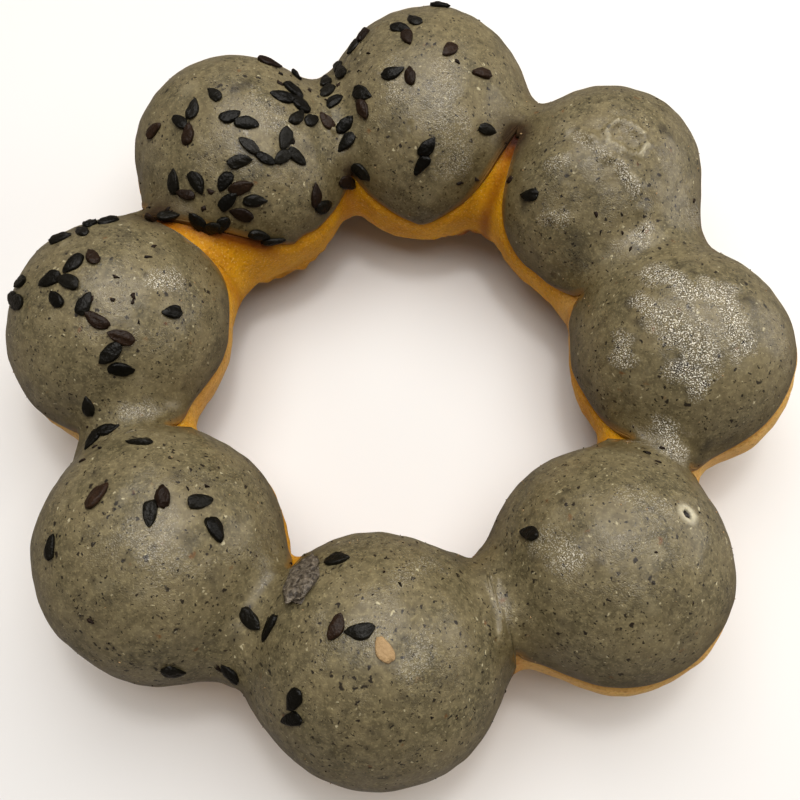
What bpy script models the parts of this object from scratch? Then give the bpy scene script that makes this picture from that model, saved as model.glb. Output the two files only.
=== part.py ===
"""Black sesame doughnut: a ring of eight joined dough balls, dipped in glaze and sprinkled with seeds.

Every length below is in millimetres and every angle in degrees. The real part is written in metres.
Bearings turn anticlockwise from +X, seen from above. A section angle turns round the dough at one
bearing: 0 is the outer side, 90 the top, 180 the side of the hole and 270 the base.
"""
import math

import bpy
import numpy as np

MM = 0.001
NAME = "black_sesame_doughnut"

# The balls, clockwise from the far one: bearing, reach of the centre from the middle of the ring,
# half width along the ring, half width across the ring.
BALLS = [
    (84.0, 36.0, 14.2, 16.2),
    (43.0, 35.2, 13.0, 14.5),
    (-0.5, 34.3, 13.3, 13.3),
    (-48.0, 34.7, 13.5, 13.7),
    (-94.5, 35.5, 14.0, 13.5),
    (-139.0, 35.8, 14.6, 14.1),
    (172.8, 34.8, 14.2, 13.5),
    (125.8, 35.4, 14.0, 15.2),
]
# The neck from each ball to the next one in the list: radius, bearing of the crease over it, and how
# far it lies out of the line between the two centres.
NECKS = [
    (8.0, 61.5, -1.0),
    (10.0, 17.0, 0.0),
    (6.0, -26.0, 0.5),
    (6.3, -72.0, 0.0),
    (6.0, -114.0, 2.6),
    (6.2, -158.0, 0.5),
    (8.0, 154.0, -0.8),
    (7.5, 106.0, 0.8),
]
RING_MIDDLE = (0.5, -1.5)
BALL_CENTRE_HIGH = 12.5
NECK_CENTRE_HIGH = 10.5
BALL_HALF_HIGH = 14.0
# The section is measured round this height.
SECTION_HIGH = 11.5
# The dough settles on the tray over this much height, which leaves a flat foot under each ball.
SETTLED = 1.0

# How widely the balls run into each other, in the dough and under the smoother glaze.
DOUGH_BLEND = 3.0
GLAZE_BLEND = 4.5
GLAZE_THICK = 0.7
GLAZE_THICK_AT_EDGE = 0.45
GLAZE_RIM = 0.25
GAP = 0.3
BARE_DOUGH_UNDER_GLAZE_TOP = 0.25

# Section angle down to which the glaze reaches on each ball, outside and on the side of the hole.
OUTER_EDGE = [10.0, 10.0, 30.0, 20.0, -6.0, -6.0, 4.0, 8.0]
HOLE_EDGE = [178.0, 177.0, 178.0, 176.0, 174.0, 174.0, 175.0, 168.0]
HOLE_NOTCHES = [
    (60.9, 136.0, 3.0, 2.0),
    (62.1, 136.0, 2.0, 2.4),
    (18.0, 157.0, 1.0, 4.0),
    (-25.0, 132.0, 0.5, 3.5),
    (-73.0, 160.0, 1.0, 1.0),
    (-114.0, 130.0, 2.4, 0.5),
    (-159.0, 134.0, 2.8, 0.4),
    (152.0, 84.0, 7.0, 0.6),
    (104.0, 152.0, 6.0, 2.6),
]
OUTER_NOTCHES = [
    (61.5, 60.0, 2.0, 2.0),
    (17.0, 40.0, 2.0, 2.0),
    (-25.5, 78.0, 0.8, 2.4),
    (-71.5, 68.0, 0.6, 3.0),
    (-114.0, 14.0, 1.0, 1.5),
    (-165.0, 48.0, 3.0, 4.0),
    (149.5, 76.0, 3.0, 2.0),
    (106.0, 50.0, 2.0, 2.0),
]
NOTCH_LIMIT = 22.0

# Facets: columns from crease to crease, glaze rows from edge to edge.
COLUMNS_A_BALL = 11
GLAZE_ROWS = 9

# A whole hulled seed.
SEED_LONG = 3.0
SEED_WIDE = 1.75
SEED_THICK = 0.9
SEED_LIFT = 0.12
SEED_APART = 2.2
SEED_DRAW = 7

# Where seeds fell: bearing, section angle, half spread of each in degrees, and how many seeds.
SPRINKLES = [
    (83.0, 47.0, 0.0, 0.0, 1),
    (88.5, 74.0, 2.5, 9.0, 3),
    (80.0, 87.0, 0.0, 0.0, 1),
    (97.5, 60.0, 2.0, 4.0, 2),
    (102.0, 69.0, 1.5, 8.0, 3),
    (104.0, 94.0, 2.5, 9.0, 2),
    (89.5, 101.0, 3.0, 4.0, 2),
    (97.5, 111.0, 2.5, 4.0, 2),
    (102.5, 126.0, 3.0, 6.0, 2),
    (73.0, 92.0, 0.0, 0.0, 1),
    (68.0, 120.0, 0.0, 0.0, 1),
    (83.0, 140.0, 2.5, 5.0, 2),
    (104.0, 153.0, 2.5, 2.0, 2),
    (112.0, 70.0, 4.5, 5.0, 2),
    (113.5, 103.0, 2.5, 10.0, 4),
    (109.0, 117.0, 1.5, 7.0, 2),
    (127.0, 84.0, 0.0, 0.0, 1),
    (134.5, 84.0, 3.0, 6.0, 3),
    (138.0, 64.0, 0.0, 0.0, 1),
    (126.5, 101.0, 1.0, 5.0, 2),
    (122.0, 124.0, 5.0, 6.0, 4),
    (130.5, 116.0, 2.0, 3.0, 2),
    (137.0, 130.0, 4.0, 9.0, 5),
    (143.0, 106.0, 1.5, 10.0, 3),
    (147.0, 134.0, 3.0, 9.0, 3),
    (151.0, 106.0, 2.0, 16.0, 2),
    (116.5, 156.0, 1.0, 6.0, 2),
    (137.5, 155.0, 3.0, 6.0, 2),
    (160.0, 72.0, 3.0, 9.0, 3),
    (164.5, 62.0, 1.0, 6.0, 1),
    (169.5, 87.0, 1.0, 6.0, 2),
    (174.5, 77.0, 1.5, 6.0, 3),
    (174.0, 49.0, 2.5, 3.0, 3),
    (180.0, 93.0, 2.0, 4.0, 2),
    (184.0, 107.0, 0.0, 0.0, 1),
    (188.5, 106.0, 2.5, 5.0, 2),
    (176.0, 128.0, 0.0, 0.0, 1),
    (193.0, 82.0, 0.0, 0.0, 1),
    (198.0, 86.0, 2.5, 3.0, 2),
    (206.0, 110.0, 0.0, 0.0, 1),
    (213.5, 80.0, 1.0, 5.0, 1),
    (221.0, 100.0, 1.5, 3.0, 2),
    (228.0, 115.0, 5.0, 5.0, 2),
    (215.0, 55.0, 0.0, 0.0, 1),
    (237.0, 31.0, 0.0, 0.0, 1),
    (244.0, 39.0, 2.0, 1.0, 1),
    (246.5, 88.0, 3.0, 1.0, 2),
    (256.0, 127.0, 0.0, 0.0, 1),
    (261.0, 94.0, 2.5, 2.0, 2),
    (267.0, 87.0, 0.0, 0.0, 1),
    (255.5, 58.5, 0.5, 7.0, 2),
    (299.0, 126.0, 0.0, 0.0, 1),
    (49.0, 139.0, 0.0, 0.0, 1),
]
GOLDEN_TURN = math.pi * (3.0 - math.sqrt(5.0))


def smooth_min(a, b, reach):
    """Smaller of two distances, with the corner between them rounded over the reach."""
    share = np.clip(0.5 + 0.5 * (b - a) / reach, 0.0, 1.0)
    return b * (1.0 - share) + a * share - reach * share * (1.0 - share)


def ball_centres():
    """Centre of every ball on the plan, measured from the middle of the ring."""
    table = np.array(BALLS)
    bearing = np.radians(table[:, 0])
    return table[:, 1] * np.cos(bearing), table[:, 1] * np.sin(bearing)


def form_distance(x, y, z, blend):
    """Distance outside the row of joined balls, below zero inside it."""
    centre_x, centre_y = ball_centres()
    found = np.full(np.shape(x), 1000.0)
    for i, (bearing, _, along, across) in enumerate(BALLS):
        out_x, out_y = math.cos(math.radians(bearing)), math.sin(math.radians(bearing))
        off_x, off_y = x - centre_x[i], y - centre_y[i]
        u = (off_x * out_x + off_y * out_y) / across
        v = (off_y * out_x - off_x * out_y) / along
        w = (z - BALL_CENTRE_HIGH) / BALL_HALF_HIGH
        ball = (np.sqrt(u * u + v * v + w * w) - 1.0) * BALL_HALF_HIGH
        found = smooth_min(found, ball, blend)
    for i, (radius, crease, out) in enumerate(NECKS):
        j = (i + 1) % len(BALLS)
        run_x, run_y = centre_x[j] - centre_x[i], centre_y[j] - centre_y[i]
        off_x = x - centre_x[i] - out * math.cos(math.radians(crease))
        off_y = y - centre_y[i] - out * math.sin(math.radians(crease))
        share = np.clip((off_x * run_x + off_y * run_y) / (run_x**2 + run_y**2), 0.0, 1.0)
        flat = (off_x - share * run_x) ** 2 + (off_y - share * run_y) ** 2
        neck = np.sqrt(flat + (z - NECK_CENTRE_HIGH) ** 2) - radius
        found = smooth_min(found, neck, blend)
    return found


def surface(bearing, angle, blend, grow):
    """Points of the form, grown by a few tenths or shrunk, at bearings and section angles."""
    table = np.array(BALLS)
    order = np.argsort(table[:, 0] % 360.0)
    line = np.interp(bearing, table[order, 0] % 360.0, table[order, 1], period=360.0)
    turn, tilt = np.radians(bearing), np.radians(angle)
    near, far = np.zeros(np.shape(angle)), np.full(np.shape(angle), 24.0)
    for _ in range(24):
        middle = (near + far) / 2.0
        plan = line + middle * np.cos(tilt)
        high = SECTION_HIGH + middle * np.sin(tilt)
        inside = form_distance(plan * np.cos(turn), plan * np.sin(turn), high, blend) < grow
        near, far = np.where(inside, middle, near), np.where(inside, far, middle)
    plan = line + near * np.cos(tilt)
    high = SECTION_HIGH + near * np.sin(tilt)
    settled = np.where(high < -SETTLED, 0.0, (high + SETTLED) ** 2 / (4.0 * SETTLED))
    high = np.where(high < SETTLED, settled, high)
    x = RING_MIDDLE[0] + plan * np.cos(turn)
    y = RING_MIDDLE[1] + plan * np.sin(turn)
    return np.stack([x, y, high], axis=-1)


def edge_angle(bearing, rests, notches):
    """Section angle of one edge of the glaze, with its pull back in every crease."""
    table = np.array(BALLS)
    order = np.argsort(table[:, 0] % 360.0)
    rest = np.interp(bearing, table[order, 0] % 360.0, np.array(rests)[order], period=360.0)
    pulled = rest.copy()
    for at, reached, before, after in notches:
        off = (bearing - at + 180.0) % 360.0 - 180.0
        width = np.where(off < 0.0, before, after)
        share = np.clip(1.0 - np.abs(off) / NOTCH_LIMIT, 0.0, 1.0) / (1.0 + np.abs(off) / width)
        pulled += (reached - rest) * share
    return pulled


def ring_columns():
    """Bearings of the facet columns, closer together in the creases."""
    creases = sorted(bearing % 360.0 for _, bearing, _ in NECKS)
    steps = np.arange(COLUMNS_A_BALL) / COLUMNS_A_BALL
    eased = steps - 0.1 * np.sin(2.0 * np.pi * steps)
    columns = []
    for i, start in enumerate(creases):
        end = creases[i + 1] if i + 1 < len(creases) else creases[0] + 360.0
        columns.extend(start + (end - start) * eased)
    return np.array(columns)


def ring_solid(name, points):
    """A torus primitive with its points moved onto the form, columns by rows."""
    columns, rows = points.shape[:2]
    bpy.ops.mesh.primitive_torus_add(
        major_segments=columns, minor_segments=rows, major_radius=35.0 * MM, minor_radius=10.0 * MM
    )
    ring = bpy.context.object
    ring.name = name
    ring.data.name = name
    ring.data.vertices.foreach_set("co", (points * MM).ravel())
    ring.data.update()
    return ring


def seed_solid(number, place, normal, heading, size):
    """One flat teardrop seed from a sphere primitive, its tip along the heading."""
    bpy.ops.mesh.primitive_uv_sphere_add(segments=6, ring_count=4, radius=1.0)
    seed = bpy.context.object
    seed.name = f"seed_{number}"
    for vertex in seed.data.vertices:
        across, up, along = vertex.co
        slim = 1.0 - 0.28 * along - 0.12 * along**2
        point = (
            place
            + heading * (along * size * SEED_LONG / 2.0)
            + np.cross(normal, heading) * (across * slim * size * SEED_WIDE / 2.0)
            + normal * (up * slim * size * SEED_THICK / 2.0 + SEED_LIFT)
        )
        vertex.co = point * MM
    return seed


def sprinkle():
    """Spots of the seeds: a patch fills like a seed head, then crowded seeds push one another apart."""
    draw = np.random.default_rng(SEED_DRAW)
    bearings, angles = [], []
    for bearing, angle, wide, tall, count in SPRINKLES:
        turn = draw.uniform(0.0, 2.0 * math.pi)
        for i in range(count):
            out = math.sqrt((i + 0.5) / count)
            bearings.append(bearing + wide * out * math.cos(turn + i * GOLDEN_TURN))
            angles.append(angle + tall * out * math.sin(turn + i * GOLDEN_TURN))
    spots = surface(np.array(bearings), np.array(angles), GLAZE_BLEND, np.zeros(len(angles)))
    for _ in range(12):
        apart = spots[:, None] - spots[None, :]
        distance = np.linalg.norm(apart, axis=-1) + np.eye(len(spots)) * SEED_APART
        short = np.clip(SEED_APART - distance, 0.0, None)
        spots = spots + (apart * (short / distance / 2.0)[:, :, None]).sum(axis=1)
    headings = draw.uniform(0.0, 360.0, len(spots))
    sizes = draw.uniform(0.88, 1.08, len(spots))
    return zip(spots, headings, sizes)


def material(name, colour, roughness):
    made = bpy.data.materials.new(name)
    made.use_nodes = True
    shader = made.node_tree.nodes["Principled BSDF"]
    shader.inputs["Base Color"].default_value = (*colour, 1.0)
    shader.inputs["Roughness"].default_value = roughness
    return made


def move_to(collection, piece):
    for holder in list(piece.users_collection):
        holder.objects.unlink(piece)
    collection.objects.link(piece)


for old in list(bpy.data.objects):
    bpy.data.objects.remove(old, do_unlink=True)
doughnut = bpy.data.collections.new(NAME)
bpy.context.scene.collection.children.link(doughnut)
toppings = bpy.data.collections.new("toppings")
bpy.context.scene.collection.children.link(toppings)

bearings = ring_columns()
outer_edge = edge_angle(bearings, OUTER_EDGE, OUTER_NOTCHES)
hole_edge = edge_angle(bearings, HOLE_EDGE, HOLE_NOTCHES)

# Glaze rows run from the outer edge over the top to the edge in the hole, closer near both edges.
steps = np.arange(GLAZE_ROWS + 1) / GLAZE_ROWS
eased = steps - 0.08 * np.sin(2.0 * np.pi * steps)
glazed = outer_edge[:, None] + (hole_edge - outer_edge)[:, None] * eased

# Dough rows go on from there round the base: two close to each edge, where the bare dough
# swells to meet the glaze, three under the ball on its flat foot, and two up each side.
round_edge = outer_edge + 360.0
under = [hole_edge + 3.0, hole_edge + 9.0]
under += [hole_edge + 9.0 + (247.0 - hole_edge) * share for share in (1.0 / 3.0, 2.0 / 3.0)]
under += [np.full(len(bearings), angle) for angle in (256.0, 270.0, 284.0)]
under += [284.0 + (round_edge - 293.0) * share for share in (1.0 / 3.0, 2.0 / 3.0)]
under += [round_edge - 9.0, round_edge - 3.0]
dough_angles = np.concatenate([glazed, np.stack(under, axis=1)], axis=1)

# The bare dough swells only where no glaze edge is close beside it either.
nearby = np.abs((bearings[:, None] - bearings[None, :] + 180.0) % 360.0 - 180.0) <= 4.5
hole_limit = np.where(nearby, hole_edge[None, :], -1000.0).max(axis=1)
outer_limit = np.where(nearby, outer_edge[None, :], 1000.0).min(axis=1) + 360.0
clear = np.minimum(dough_angles - hole_limit[:, None], outer_limit[:, None] - dough_angles)
swell = np.clip((clear - 3.5) / 5.0, 0.0, 1.0)
covered = -(GLAZE_THICK + GAP)
dough_grow = covered + (-BARE_DOUGH_UNDER_GLAZE_TOP - covered) * swell
all_bearings = np.repeat(bearings[:, None], dough_angles.shape[1], axis=1)
dough = ring_solid("dough_ring", surface(all_bearings, dough_angles, DOUGH_BLEND, dough_grow))
dough.data.materials.append(material("fried_dough", (0.56, 0.29, 0.07), 0.6))
move_to(doughnut, dough)

# The glaze is a thin ring: its outer face, a rounded rim, its inner face back, and the other rim.
glaze_bearings = np.repeat(bearings[:, None], GLAZE_ROWS + 1, axis=1)
thinner = np.zeros(GLAZE_ROWS + 1)
thinner[[0, -1]] = GLAZE_THICK - GLAZE_THICK_AT_EDGE
outer_face = surface(glaze_bearings, glazed, GLAZE_BLEND, 0.0 * glazed - thinner)
inner_face = surface(glaze_bearings, glazed, DOUGH_BLEND, 0.0 * glazed - GLAZE_THICK)
middles = (outer_face[:, [0, -1]] + inner_face[:, [0, -1]]) / 2.0
beyond = outer_face[:, [0, -1]] - outer_face[:, [1, -2]]
beyond /= np.linalg.norm(beyond, axis=-1, keepdims=True)
rims = middles + beyond * GLAZE_RIM
rings = [outer_face, rims[:, 1:], inner_face[:, ::-1], rims[:, :1]]
glaze = ring_solid("sesame_glaze", np.concatenate(rings, axis=1))
glaze.data.materials.append(material("grey_sesame_glaze", (0.21, 0.19, 0.14), 0.35))
move_to(doughnut, glaze)

# A seed lies flat on the facet it falls on, pushed a little way in.
bpy.context.view_layer.update()
for number, (spot, heading, size) in enumerate(sprinkle()):
    _, place, facing, _ = glaze.closest_point_on_mesh(spot * MM)
    normal = np.array(facing)
    level = np.cross((0.0, 0.0, 1.0), normal)
    level /= np.linalg.norm(level)
    uphill = np.cross(normal, level)
    pointed = level * math.cos(math.radians(heading)) + uphill * math.sin(math.radians(heading))
    seed = seed_solid(number, np.array(place) / MM, normal, pointed, size)
    move_to(toppings, seed)

# The seeds are stuck into the glaze, so both are one solid.
fuse = glaze.modifiers.new("seeds_in_glaze", "BOOLEAN")
fuse.operation = "UNION"
fuse.operand_type = "COLLECTION"
fuse.collection = toppings
fuse.solver = "EXACT"
bpy.context.view_layer.objects.active = glaze
bpy.ops.object.modifier_apply(modifier=fuse.name)
for seed in list(toppings.objects):
    bpy.data.objects.remove(seed, do_unlink=True)
bpy.data.collections.remove(toppings)
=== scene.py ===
import math

import bpy
import numpy as np
from mathutils import Matrix, Vector
from mathutils.kdtree import KDTree


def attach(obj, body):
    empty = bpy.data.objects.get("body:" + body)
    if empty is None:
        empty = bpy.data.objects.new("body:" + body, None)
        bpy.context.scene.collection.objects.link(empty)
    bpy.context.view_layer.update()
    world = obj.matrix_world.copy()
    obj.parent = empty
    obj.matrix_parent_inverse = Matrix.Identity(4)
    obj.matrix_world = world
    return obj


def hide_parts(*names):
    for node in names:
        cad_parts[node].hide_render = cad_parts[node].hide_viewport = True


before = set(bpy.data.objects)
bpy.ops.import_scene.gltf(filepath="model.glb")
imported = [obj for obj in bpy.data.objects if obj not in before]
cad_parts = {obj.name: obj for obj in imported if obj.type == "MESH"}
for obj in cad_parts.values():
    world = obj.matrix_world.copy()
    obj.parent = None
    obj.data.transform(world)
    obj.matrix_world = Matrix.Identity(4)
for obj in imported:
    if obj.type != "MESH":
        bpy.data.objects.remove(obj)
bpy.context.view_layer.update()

# Dough ring. Eight balls of soft fried dough, joined in a ring where they touched in the oil.
# The crust is golden where the oil fried it and paler round the outside at the oil's surface.
# Painted shade darkens it in the creases and just under the glaze's edge, with some real scorching
# in the deepest creases, and it is darker towards the bottom. It carries everything else.
MM = 0.001
# Clockwise from the far ball: bearing, reach of the centre, half width along and across the ring.
BALLS = [
    (84.0, 36.0, 14.2, 16.2),
    (43.0, 35.2, 13.0, 14.5),
    (-0.5, 34.3, 13.3, 13.3),
    (-48.0, 34.7, 13.5, 13.7),
    (-94.5, 35.5, 14.0, 13.5),
    (-139.0, 35.8, 14.6, 14.1),
    (172.8, 34.8, 14.2, 13.5),
    (125.8, 35.4, 14.0, 15.2),
]
# The neck after each ball: radius, bearing of its crease, how far out of the line of centres it lies.
NECKS = [
    (8.0, 61.5, -1.0),
    (10.0, 17.0, 0.0),
    (6.0, -26.0, 0.5),
    (6.3, -72.0, 0.0),
    (6.0, -114.0, 2.6),
    (6.2, -158.0, 0.5),
    (8.0, 154.0, -0.8),
    (7.5, 106.0, 0.8),
]
RING_MIDDLE = np.array([0.5, -1.5])
BALL_CENTRE_HIGH, BALL_HALF_HIGH = 12.5, 14.0
NECK_CENTRE_HIGH, SECTION_HIGH, SETTLED = 10.5, 11.5, 1.0
DOUGH_BLEND, GLAZE_BLEND = 3.0, 4.5
# Section angle of the glaze's edges on each ball, and their pull back in the creases:
# bearing, angle reached, spread to smaller and to larger bearings.
OUTER_EDGE = [10.0, 10.0, 30.0, 20.0, -6.0, -6.0, 4.0, 8.0]
HOLE_EDGE = [178.0, 177.0, 178.0, 176.0, 174.0, 174.0, 175.0, 168.0]
HOLE_NOTCHES = [
    (60.9, 136.0, 3.0, 2.0),
    (62.1, 136.0, 2.0, 2.4),
    (18.0, 157.0, 1.0, 4.0),
    (-25.0, 132.0, 0.5, 3.5),
    (-73.0, 160.0, 1.0, 1.0),
    (-114.0, 130.0, 2.4, 0.5),
    (-159.0, 134.0, 2.8, 0.4),
    (152.0, 84.0, 7.0, 0.6),
    (104.0, 152.0, 6.0, 2.6),
]
OUTER_NOTCHES = [
    (61.5, 60.0, 2.0, 2.0),
    (17.0, 40.0, 2.0, 2.0),
    (-25.5, 78.0, 0.8, 2.4),
    (-71.5, 68.0, 0.6, 3.0),
    (-114.0, 14.0, 1.0, 1.5),
    (-165.0, 48.0, 3.0, 4.0),
    (149.5, 76.0, 3.0, 2.0),
    (106.0, 50.0, 2.0, 2.0),
]
NOTCH_LIMIT = 22.0
# How far the glaze's edges wander, in degrees, and over what length, in millimetres.
OUTER_WANDER, HOLE_WANDER = (1.2, 9.0), (1.0, 7.0)
WANDER_DRAW, LUMPS_DRAW = 3, 11
LINE_OF_CENTRES = 36.0
# The skin is looked for out to this many millimetres, by halving.
FARTHEST, HALVINGS = 24.0, 18
COLUMNS = 800
# Rows on the crust at the hole, on the base, at the outside and hidden under the glaze.
DOUGH_ROWS = (52, 12, 32, 14)
# The base lies between these section angles, and the crust runs this many degrees in under the glaze.
BASE_FROM, BASE_TO, TUCKED_UNDER = 236.0, 304.0, 6.0
# The crust dips to the glaze's edge and on under it: how far the edge lies inside the smooth balls,
# how much the bare crust rises from it and over what length, and how much the hidden crust sinks.
AT_EDGE, BARE_RISE, RISE_OVER, HIDDEN_DIP, DIP_OVER = -0.62, 0.5, 1.6, 0.4, 1.5
MEASURED_FROM = -0.3
# Unevenness of the crust: height and length in millimetres.
CRUST_LUMPS = [(0.16, 7.0), (0.05, 2.2)]
# It tore along its lower edge in the hole, on the far ball and the one left of it: bearing, half width.
TORN = [(68.0, 11.0), (127.0, 19.0)]
TORN_ANGLE, TORN_HALF, TORN_MOST = 205.0, 8.0, 0.9
# Where the crust is darkened by painted shade, with some real scorching, in the deepest creases and
# under the torn edge: bearing, angle, how dark, reach.
SCORCH_AND_SHADE_SPOTS = [
    (61.5, 117.0, 1.0, 2.2),
    (61.0, 127.0, 0.6, 2.0),
    (151.0, 100.0, 0.8, 2.8),
    (150.0, 115.0, 0.5, 2.2),
    (66.0, 206.0, 0.8, 1.8),
    (69.5, 207.0, 0.6, 1.4),
    (104.0, 150.0, 0.8, 1.2),
]
# A line of painted shade runs down the crease right of the far ball.
SCORCH_AND_SHADE_SPOTS += [(60.6, float(angle), 0.4, 1.1) for angle in range(134, 206, 3)]


def smooth_min(a, b, reach):
    """Smaller of two distances, with the corner between them rounded."""
    share = np.clip(0.5 + 0.5 * (b - a) / reach, 0.0, 1.0)
    return b * (1.0 - share) + a * share - reach * share * (1.0 - share)


def outside_dough(x, y, z, blend):
    """Millimetres outside the joined balls."""
    table = np.array(BALLS)
    centre_x = table[:, 1] * np.cos(np.radians(table[:, 0]))
    centre_y = table[:, 1] * np.sin(np.radians(table[:, 0]))
    found = np.full(np.shape(x), 1000.0)
    for i, (bearing, _, along, across) in enumerate(BALLS):
        out_x, out_y = math.cos(math.radians(bearing)), math.sin(math.radians(bearing))
        off_x, off_y = x - centre_x[i], y - centre_y[i]
        u = (off_x * out_x + off_y * out_y) / across
        v = (off_y * out_x - off_x * out_y) / along
        w = (z - BALL_CENTRE_HIGH) / BALL_HALF_HIGH
        found = smooth_min(found, (np.sqrt(u * u + v * v + w * w) - 1.0) * BALL_HALF_HIGH, blend)
    for i, (radius, crease, out) in enumerate(NECKS):
        j = (i + 1) % len(BALLS)
        run_x, run_y = centre_x[j] - centre_x[i], centre_y[j] - centre_y[i]
        off_x = x - centre_x[i] - out * math.cos(math.radians(crease))
        off_y = y - centre_y[i] - out * math.sin(math.radians(crease))
        share = np.clip((off_x * run_x + off_y * run_y) / (run_x**2 + run_y**2), 0.0, 1.0)
        flat = (off_x - share * run_x) ** 2 + (off_y - share * run_y) ** 2
        neck = np.sqrt(flat + (z - NECK_CENTRE_HIGH) ** 2) - radius
        found = smooth_min(found, neck, blend)
    return found


def round_the_ring(bearing, values):
    """A value of each ball, run evenly from ball to ball."""
    at = np.array(BALLS)[:, 0] % 360.0
    order = np.argsort(at)
    return np.interp(bearing, at[order], np.array(values)[order], period=360.0)


def skin(bearing, angle, blend, grow):
    """Points in millimetres on the dough or glaze, at bearings and section angles."""
    line = round_the_ring(bearing, [ball[1] for ball in BALLS])
    turn, tilt = np.radians(bearing), np.radians(angle)
    near, far = np.zeros(np.shape(angle)), np.full(np.shape(angle), FARTHEST)
    for _ in range(HALVINGS):
        middle = (near + far) / 2.0
        plan = line + middle * np.cos(tilt)
        high = SECTION_HIGH + middle * np.sin(tilt)
        inside = outside_dough(plan * np.cos(turn), plan * np.sin(turn), high, blend) < grow
        near, far = np.where(inside, middle, near), np.where(inside, far, middle)
    plan = line + near * np.cos(tilt)
    high = SECTION_HIGH + near * np.sin(tilt)
    settled = np.where(high < -SETTLED, 0.0, (high + SETTLED) ** 2 / (4.0 * SETTLED))
    high = np.where(high < SETTLED, settled, high)
    across = RING_MIDDLE[0] + plan * np.cos(turn)
    away = RING_MIDDLE[1] + plan * np.sin(turn)
    return np.stack([across, away, high], axis=-1)


def glaze_edge(bearing, rests, notches):
    """Section angle of one edge of the glaze."""
    rest = round_the_ring(bearing, rests)
    pulled = rest.copy()
    for at, reached, before, after in notches:
        off = (bearing - at + 180.0) % 360.0 - 180.0
        width = np.where(off < 0.0, before, after)
        share = np.clip(1.0 - np.abs(off) / NOTCH_LIMIT, 0.0, 1.0) / (1.0 + np.abs(off) / width)
        pulled += (reached - rest) * share
    return pulled


def swells(places, size, draw):
    """Smooth unevenness from -1 to 1 over about this size, the same in every run."""
    found = np.zeros(places.shape[:-1])
    waves = 14
    for _ in range(waves):
        way = draw.normal(size=3)
        way *= 2.0 * math.pi / (size * draw.uniform(0.8, 1.6) * np.linalg.norm(way))
        found += np.sin(places @ way + draw.uniform(0.0, 6.3))
    return found * (2.0 / waves) ** 0.5 * 0.6


def ring_mesh(name, points):
    """A closed ring of quads through points, columns by rows."""
    columns, rows = points.shape[:2]
    i, j = np.meshgrid(np.arange(columns), np.arange(rows), indexing="ij")
    next_i, next_j = (i + 1) % columns, (j + 1) % rows
    quads = np.stack([i * rows + j, next_i * rows + j, next_i * rows + next_j, i * rows + next_j], -1)
    mesh = bpy.data.meshes.new(name)
    mesh.from_pydata((points.reshape(-1, 3) * MM).tolist(), [], quads.reshape(-1, 4).tolist())
    mesh.shade_smooth()
    piece = bpy.data.objects.new(name, mesh)
    bpy.context.scene.collection.objects.link(piece)
    return piece


def note(piece, name, values):
    """Keeps a number for every point of the mesh, for its material to read."""
    layer = piece.data.attributes.new(name, "FLOAT", "POINT")
    layer.data.foreach_set("value", np.asarray(values, dtype=np.float32).ravel())


def linear(sheet_colour):
    """An sRGB hex colour as the linear colour that the shader needs."""
    parts = [int(sheet_colour[i:i + 2], 16) / 255.0 for i in (1, 3, 5)]
    return (*[p / 12.92 if p <= 0.04045 else ((p + 0.055) / 1.055) ** 2.4 for p in parts], 1.0)


def add(tree, kind, sockets, **settings):
    """One node with its settings, its sockets given values or linked."""
    made = tree.nodes.new(kind)
    for name, value in settings.items():
        setattr(made, name, value)
    for key, value in sockets.items():
        if isinstance(value, bpy.types.NodeSocket):
            tree.links.new(value, made.inputs[key])
        else:
            made.inputs[key].default_value = value
    return made


bearings = np.arange(COLUMNS) * 360.0 / COLUMNS
wander = np.random.default_rng(WANDER_DRAW)
level_line = np.zeros(COLUMNS)
unit_circle = np.stack([np.cos(np.radians(bearings)), np.sin(np.radians(bearings)), level_line], -1)
on_circle = unit_circle * LINE_OF_CENTRES
outer_edge = glaze_edge(bearings, OUTER_EDGE, OUTER_NOTCHES)
outer_edge += OUTER_WANDER[0] * swells(on_circle, OUTER_WANDER[1], wander)
hole_edge = glaze_edge(bearings, HOLE_EDGE, HOLE_NOTCHES)
hole_edge += HOLE_WANDER[0] * swells(on_circle, HOLE_WANDER[1], wander)
edge_line = np.concatenate([
    skin(bearings, outer_edge, GLAZE_BLEND, level_line),
    skin(bearings, hole_edge, GLAZE_BLEND, level_line),
])
edge_tree = KDTree(len(edge_line))
for number, place in enumerate(edge_line):
    edge_tree.insert(place, number)
edge_tree.balance()


def from_edge(points):
    """Millimetres from each point to the nearest stretch of the glaze's edge."""
    return np.array([edge_tree.find(place)[2] for place in points.reshape(-1, 3)]).reshape(points.shape[:2])


def point_on(bearing, angle, blend):
    """The point of the smooth dough or glaze at one bearing and section angle."""
    return skin(np.array([bearing]), np.array([angle]), blend, np.zeros(1))[0]


def scorch_and_shade(places):
    """How dark the dough is at each place from painted shade and scorching, from 0 to 1."""
    found = np.zeros(places.shape[:-1])
    for bearing, angle, dark, reach in SCORCH_AND_SHADE_SPOTS:
        off = np.linalg.norm(places - point_on(bearing, angle, DOUGH_BLEND), axis=-1)
        found = np.maximum(found, dark * np.exp(-((off / reach) ** 2)))
    return found


def stretch(at, half):
    """1 within a half width of a bearing, falling to 0 outside it, for each column."""
    return np.exp(-((bearings - at) / half) ** 4)[:, None]


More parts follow.
